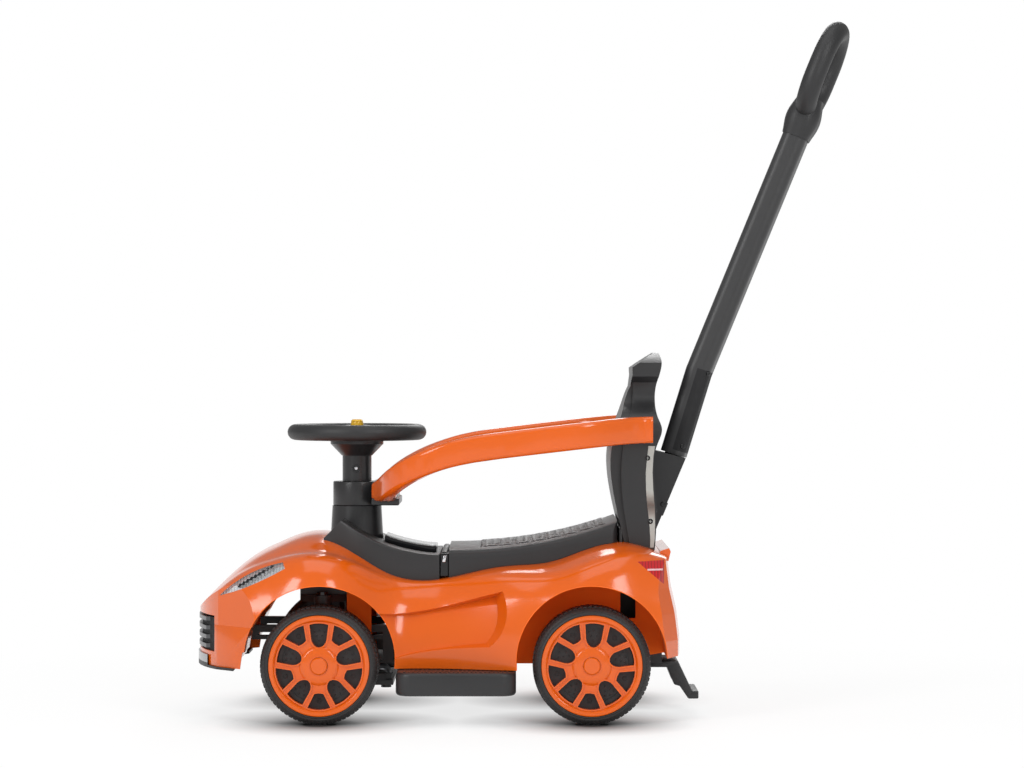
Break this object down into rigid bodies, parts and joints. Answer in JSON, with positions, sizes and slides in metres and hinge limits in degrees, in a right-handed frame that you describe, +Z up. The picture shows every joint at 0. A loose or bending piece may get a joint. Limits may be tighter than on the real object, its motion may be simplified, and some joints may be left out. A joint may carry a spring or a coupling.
{
  "type": "push car with handle",
  "caption": "Child's ride-on push car with steered front wheels, a seat lid over a storage box, side guards, a backrest and a long push handle with a grip loop.",
  "frame": {"origin": "on the floor, under the middle of the car's bounding box", "axes": "+Z up, -X the way the car faces, -Y its left side"},
  "size_m": [0.8363, 0.38, 0.8842],
  "materials": {
    "orange_plastic": "polished moulding",
    "black_plastic": "fine grained moulding",
    "gloss_black_plastic": "polished moulding",
    "wheel_plastic": "satin moulding with tread",
    "steel": "zinc plated",
    "bright_trim": "bright metallised plastic",
    "clear_lens": "clear moulding",
    "red_lens": "tinted moulding",
    "yellow_plastic": "polished moulding"
  },
  "bodies": {
    "car_body": {"anti_tip_bracket": "black_plastic", "axle_spacers": "black_plastic", "backrest_front_shell": "black_plastic", "backrest_rear_shell": "black_plastic", "body_shell": "orange_plastic", "chassis_pan": "black_plastic", "column_base": "black_plastic", "console": "black_plastic", "console_panel": "gloss_black_plastic", "footrest_left": "black_plastic", "footrest_right": "black_plastic", "front_axle_carrier": "black_plastic", "front_bumper": "orange_plastic", "front_splitter": "black_plastic", "grille_bars": "bright_trim", "grille_insert": "black_plastic", "guard_collar": "black_plastic", "guard_left": "orange_plastic", "guard_right": "orange_plastic", "handle_socket": "black_plastic", "headlight_lens_left": "clear_lens", "headlight_lens_right": "clear_lens", "headlight_reflectors": "bright_trim", "kingpins": "steel", "rear_axle": "steel", "rear_axle_nuts": "steel", "seat_hinge_pin": "steel", "storage_box": "black_plastic", "tail_lens_left": "red_lens", "tail_lens_right": "red_lens"},
    "steering": {"steering_rim": "black_plastic", "steering_hub_cover": "gloss_black_plastic", "steering_hub": "black_plastic", "steering_sleeve": "black_plastic", "steering_shaft": "steel", "steering_bolt": "steel"},
    "horn_button": {"horn_button": "yellow_plastic"},
    "seat_lid": {"seat_lid": "black_plastic"},
    "knuckle_left": {"knuckle_left": "black_plastic", "stub_axle_left": "steel"},
    "knuckle_right": {"knuckle_right": "black_plastic", "stub_axle_right": "steel"},
    "tie_rod": {"tie_rod": "black_plastic"},
    "push_handle": {"handle_pole": "black_plastic", "pole_cover": "gloss_black_plastic", "handle_grip": "black_plastic"},
    "release_button": {"release_button": "black_plastic"},
    "wheel_front_left": {"tyre_front_left": "wheel_plastic", "wheel_cover_front_left": "orange_plastic", "centre_cap_front_left": "orange_plastic"},
    "wheel_front_right": {"tyre_front_right": "wheel_plastic", "wheel_cover_front_right": "orange_plastic", "centre_cap_front_right": "orange_plastic"},
    "wheel_rear_left": {"tyre_rear_left": "wheel_plastic", "wheel_cover_rear_left": "orange_plastic", "centre_cap_rear_left": "orange_plastic"},
    "wheel_rear_right": {"tyre_rear_right": "wheel_plastic", "wheel_cover_rear_right": "orange_plastic", "centre_cap_rear_right": "orange_plastic"}
  },
  "joints": [
    {"name": "steering_turn", "type": "hinge", "parent": "car_body", "child": "steering", "pos_m": [-0.216, 0, 0.2], "axis": [0, 0, 1], "range_deg": [-30, 30]},
    {"name": "horn_press", "type": "slide", "parent": "steering", "child": "horn_button", "axis": [0, 0, -1], "range_m": [0, 0.003], "stiffness_N_per_m": 400},
    {"name": "seat_lid_hinge", "type": "hinge", "parent": "car_body", "child": "seat_lid", "pos_m": [-0.102, 0, 0.204], "axis": [0, -1, 0], "range_deg": [0, 75]},
    {"name": "kingpin_left_turn", "type": "hinge", "parent": "car_body", "child": "knuckle_left", "pos_m": [-0.255, -0.088, 0.12], "axis": [0, 0, 1], "range_deg": [-15.2, 15.2]},
    {"name": "kingpin_right_turn", "type": "hinge", "parent": "car_body", "child": "knuckle_right", "pos_m": [-0.255, 0.088, 0.12], "axis": [0, 0, 1], "range_deg": [-15.2, 15.2]},
    {"name": "tie_rod_slide", "type": "slide", "parent": "car_body", "child": "tie_rod", "axis": [0, 1, 0], "range_m": [-0.021, 0.021]},
    {"name": "handle_lift", "type": "slide", "parent": "car_body", "child": "push_handle", "axis": [0.2957, 0, 0.9553], "range_m": [0, 0.055]},
    {"name": "release_press", "type": "slide", "parent": "car_body", "child": "release_button", "axis": [-0.9222, 0, 0.3866], "range_m": [0, 0.0025], "stiffness_N_per_m": 600},
    {"name": "wheel_front_left_spin", "type": "hinge", "parent": "knuckle_left", "child": "wheel_front_left", "pos_m": [-0.255, -0.14, 0.073], "axis": [0, 1, 0], "continuous": true},
    {"name": "wheel_front_right_spin", "type": "hinge", "parent": "knuckle_right", "child": "wheel_front_right", "pos_m": [-0.255, 0.14, 0.073], "axis": [0, 1, 0], "continuous": true},
    {"name": "wheel_rear_left_spin", "type": "hinge", "parent": "car_body", "child": "wheel_rear_left", "pos_m": [0.0815, -0.14, 0.073], "axis": [0, 1, 0], "continuous": true},
    {"name": "wheel_rear_right_spin", "type": "hinge", "parent": "car_body", "child": "wheel_rear_right", "pos_m": [0.0815, 0.14, 0.073], "axis": [0, 1, 0], "continuous": true}
  ],
  "couplings": [
    {"joint": "kingpin_left_turn", "follows": "steering_turn", "ratio": 0.495},
    {"joint": "kingpin_right_turn", "follows": "steering_turn", "ratio": 0.495},
    {"joint": "tie_rod_slide", "follows": "steering_turn", "m_per_rad": 0.03915}
  ]
}
